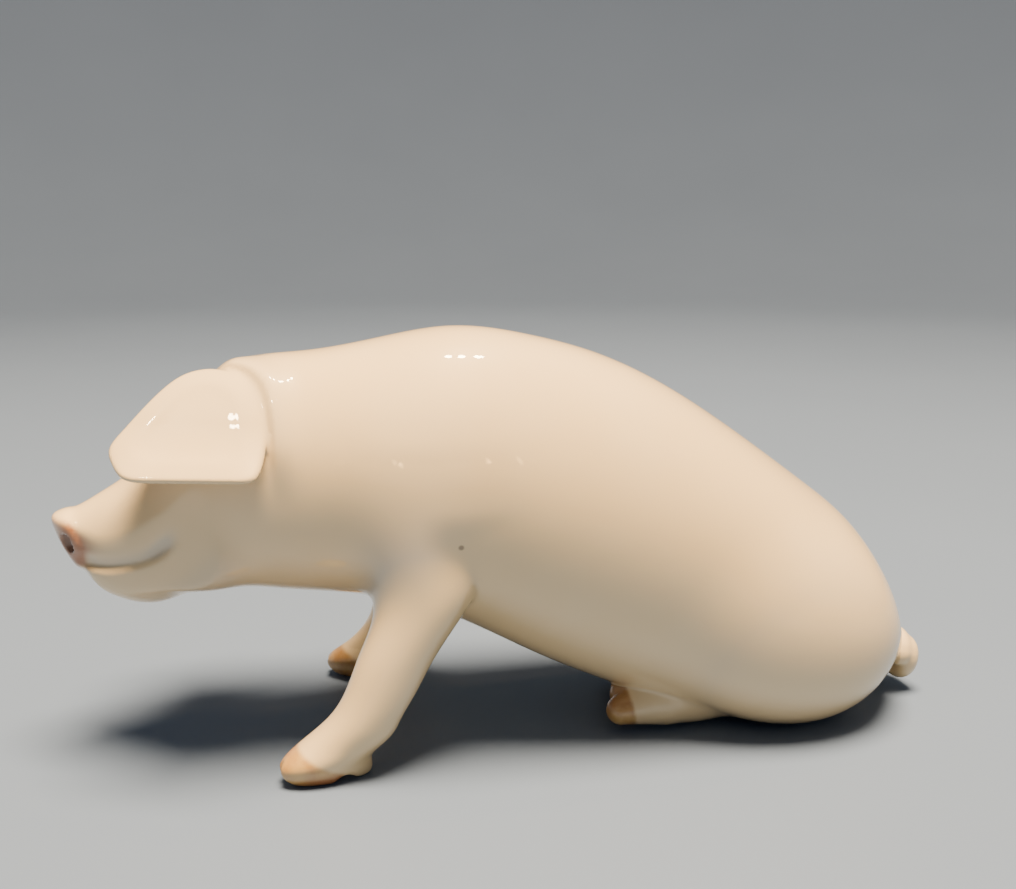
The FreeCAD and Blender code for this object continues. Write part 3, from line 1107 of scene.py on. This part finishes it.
def turned(name, profile, sides=96):
    """A closed body of revolution about the plug's axis from (radius, height) points in mm."""
    turns = np.linspace(0, 2 * math.pi, sides, endpoint=False)
    rings = []
    for radius, height in profile:
        ring = np.stack(
            [PLUG_X + radius * np.cos(turns), radius * np.sin(turns), np.full(sides, height)], 1
        )
        rings.append(ring)
    corners = np.concatenate(rings)
    faces = []
    for i in range(len(profile) - 1):
        for j in range(sides):
            k = (j + 1) % sides
            faces.append((i * sides + j, i * sides + k, (i + 1) * sides + k, (i + 1) * sides + j))
    faces.append(tuple(range(sides))[::-1])
    faces.append(tuple((len(profile) - 1) * sides + j for j in range(sides)))
    mesh = bpy.data.meshes.new(name)
    mesh.from_pydata(corners * MM, [], faces)
    mesh.update()
    obj = bpy.data.objects.new(name, mesh)
    bpy.context.scene.collection.objects.link(obj)
    return obj


def rounded(points, radius, steps=4):
    """The same open outline with its inner corners rounded."""
    points = [np.array(p, float) for p in points]
    out = [points[0]]
    for before, corner, after in zip(points, points[1:], points[2:]):
        r1 = min(radius, 0.45 * np.linalg.norm(before - corner))
        r2 = min(radius, 0.45 * np.linalg.norm(after - corner))
        start = corner + (before - corner) / np.linalg.norm(before - corner) * r1
        end = corner + (after - corner) / np.linalg.norm(after - corner) * r2
        for t in np.linspace(0, 1, steps + 1):
            out.append((1 - t) ** 2 * start + 2 * t * (1 - t) * corner + t * t * end)
    out.append(points[-1])
    return out


GRIP_RADIUS = 5.8
GRIP_DEPTH = 2.6
BAR_HALF = 1.2
BORE_RADIUS = 6.4
BORE_DEPTH = 4.0
FLANGE_THICK = 1.4
NECK_RADIUS = 10.0
NECK_FOOT = 10.2
NECK_TIP = 9.7
RIB_RADIUS = 10.3
RIB_HALF = 0.35
RIB_HEIGHTS = (2.6, 4.4, 6.2)
AXIS_RADIUS = 0.4  # of the small flat that closes a dish in the middle


def stopper_outline(low, high):
    """From the middle of the finger dish, round flange and ribs, to the middle of the bore."""
    outline = [(AXIS_RADIUS, low + GRIP_DEPTH), (GRIP_RADIUS, low + GRIP_DEPTH), (GRIP_RADIUS, low)]
    outline += [(FLANGE_RADIUS, low), (FLANGE_RADIUS, low + FLANGE_THICK)]
    outline += [(NECK_FOOT, low + FLANGE_THICK)]
    for rise in RIB_HEIGHTS:
        height = low + rise
        outline += [(NECK_RADIUS, height - RIB_HALF), (RIB_RADIUS, height)]
        outline += [(NECK_RADIUS, height + RIB_HALF)]
    outline += [(NECK_TIP, high), (BORE_RADIUS, high), (BORE_RADIUS, high - BORE_DEPTH)]
    return outline + [(AXIS_RADIUS, high - BORE_DEPTH)]


def finger_bar(low):
    """The bar across the dish, by which the stopper is pulled."""
    bar = bpy.data.meshes.new("bar")
    reach = GRIP_RADIUS + 0.2
    ends = [(-BAR_HALF, -reach), (BAR_HALF, -reach), (BAR_HALF, reach), (-BAR_HALF, reach)]
    levels = (low + 0.05, low + GRIP_DEPTH + 0.3)
    corners = [((PLUG_X + a) * MM, b * MM, c * MM) for c in levels for a, b in ends]
    faces = [(3, 2, 1, 0), (4, 5, 6, 7)]
    faces += [(i, (i + 1) % 4, 4 + (i + 1) % 4, 4 + i) for i in range(4)]
    bar.from_pydata(corners, [], faces)
    obj = bpy.data.objects.new("bar", bar)
    bpy.context.scene.collection.objects.link(obj)
    return obj


def bake_modifiers(obj):
    """Turns the modified shape into the mesh itself."""
    graph = bpy.context.evaluated_depsgraph_get()
    mesh = bpy.data.meshes.new_from_object(obj.evaluated_get(graph))
    obj.modifiers.clear()
    obj.data = mesh


def join_bar(obj, bar):
    join = obj.modifiers.new("bar", "BOOLEAN")
    join.operation = "UNION"
    join.solver = "EXACT"
    join.object = bar
    bake_modifiers(obj)
    bpy.data.objects.remove(bar)


def soften_edges(obj):
    edges = obj.modifiers.new("edges", "BEVEL")
    edges.width = 0.25 * MM
    edges.segments = 2
    edges.limit_method = "ANGLE"
    edges.angle_limit = math.radians(50)
    bake_modifiers(obj)
    obj.data.shade_smooth()
    obj.data.set_sharp_from_angle(angle=math.radians(40))


def stopper():
    """The bung: dished below with a finger bar across, flanged, ribbed round and hollow above."""
    low, high = PLUG_LOW[2], PLUG_HIGH[2]
    obj = turned("rubber_stopper", rounded(stopper_outline(low, high), 0.45))
    join_bar(obj, finger_bar(low))
    soften_edges(obj)
    obj.data.materials.append(RUBBER)
    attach(obj, "bung")
    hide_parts("stopper")


# ---------------------------------------------------------------- STUDIO
FLOOR_FLAT = 0.75  # radius of the flat part, in metres
FLOOR_BEND = 0.55
FLOOR_SIDES = 96
FLOOR_DROP = 0.05


def floor_profile():
    """Radius and height where the floor is flat, then along its bend."""
    profile = [(FLOOR_FLAT, 0.0)]
    for turn in np.radians(np.linspace(5, 75, 15)):
        radius = FLOOR_FLAT + FLOOR_BEND * math.sin(turn)
        profile.append((radius, FLOOR_BEND * (1 - math.cos(turn))))
    return profile


def floor_mesh():
    """A disc whose rim bends up, turned from the floor's profile."""
    profile = floor_profile()
    corners = [(0.0, 0.0, 0.0)]
    for radius, height in profile:
        for turn in np.linspace(0, 2 * math.pi, FLOOR_SIDES, endpoint=False):
            corners.append((radius * math.cos(turn), radius * math.sin(turn), height))
    faces = [(0, 1 + j, 1 + (j + 1) % FLOOR_SIDES) for j in range(FLOOR_SIDES)]
    for i in range(len(profile) - 1):
        for j in range(FLOOR_SIDES):
            k = (j + 1) % FLOOR_SIDES
            a, b = 1 + i * FLOOR_SIDES, 1 + (i + 1) * FLOOR_SIDES
            faces.append((a + j, b + j, b + k, a + k))
    mesh = bpy.data.meshes.new("floor")
    mesh.from_pydata(corners, [], faces)
    mesh.shade_smooth()
    return mesh


def studio_floor():
    """A pale floor that sweeps up all round, so that no horizon shows."""
    material, tree, shader = tree_of("studio_floor")
    colour = blend_colours(tree, noise(tree, 9.0, 2.0), *FLOOR_COLOURS)
    tree.links.new(colour, shader.inputs["Base Color"])
    shader.inputs["Roughness"].default_value = 0.5
    mesh = floor_mesh()
    floor = bpy.data.objects.new("floor", mesh)
    floor.location.z = -FLOOR_DROP * MM
    bpy.context.scene.collection.objects.link(floor)
    mesh.materials.append(material)


def aim(obj, target):
    way = Vector(target) - obj.location
    obj.rotation_euler = way.to_track_quat("-Z", "Y").to_euler()


def area_light(name, place, target, size, power, colour):
    data = bpy.data.lights.new(name, "AREA")
    data.shape = "DISK"
    data.size = size
    data.energy = power
    data.color = colour
    light = bpy.data.objects.new(name, data)
    light.location = place
    bpy.context.scene.collection.objects.link(light)
    aim(light, target)
    return light


# Places in metres from here on.
SUBJECT = Vector((-0.012, -0.010, 0.045))
WARM = (1.0, 0.76, 0.47)
SKY = (0.68, 0.85, 1.0, 1.0)
SKY_STRENGTH = 0.145
# Small lamps that only show as highlights in the glaze: direction from the pig, distance, size
# and power.
LAMPS = (
    ((0.036, 0.254, 0.967), 0.90, 0.045, 1.4),
    ((0.122, 0.240, 0.963), 0.90, 0.045, 1.4),
    ((0.222, 0.239, 0.945), 0.90, 0.045, 1.4),
    ((-0.500, -0.300, 0.810), 0.90, 0.060, 1.8),
)
# The large soft lamp overhead that lights the pig, in the same order.
KEY = ((0.050, -0.110, 1.000), 0.90, 0.45, 57.0)


def lamp_place(way, distance):
    return SUBJECT + distance * Vector(way).normalized()


def lights():
    """A dim cool sky, the highlights and the key lamp."""
    world = bpy.data.worlds.new("studio")
    world.use_nodes = True
    background = world.node_tree.nodes["Background"]
    background.inputs["Color"].default_value = SKY
    background.inputs["Strength"].default_value = SKY_STRENGTH
    bpy.context.scene.world = world
    for number, (way, distance, size, power) in enumerate(LAMPS):
        place = lamp_place(way, distance)
        lamp = area_light("lamp_%d" % number, place, SUBJECT, size, power, WARM)
        lamp.visible_diffuse = False
    way, distance, size, power = KEY
    key = area_light("key", lamp_place(way, distance), SUBJECT, size, power, WARM)
    key.visible_glossy = False


CAMERA_PLACE = (-0.03522, -0.18475, 0.08606)
CAMERA_TARGET = (-0.002645, 0.0, 0.04618)
LENS = 42.52
SENSOR = 36.0


def camera():
    data = bpy.data.cameras.new("camera")
    data.sensor_width = SENSOR
    data.lens = LENS
    data.clip_start = 0.01
    data.clip_end = 20.0
    obj = bpy.data.objects.new("camera", data)
    obj.location = CAMERA_PLACE
    bpy.context.scene.collection.objects.link(obj)
    aim(obj, CAMERA_TARGET)
    bpy.context.scene.camera = obj


castings()
stopper()
studio_floor()
lights()
camera()
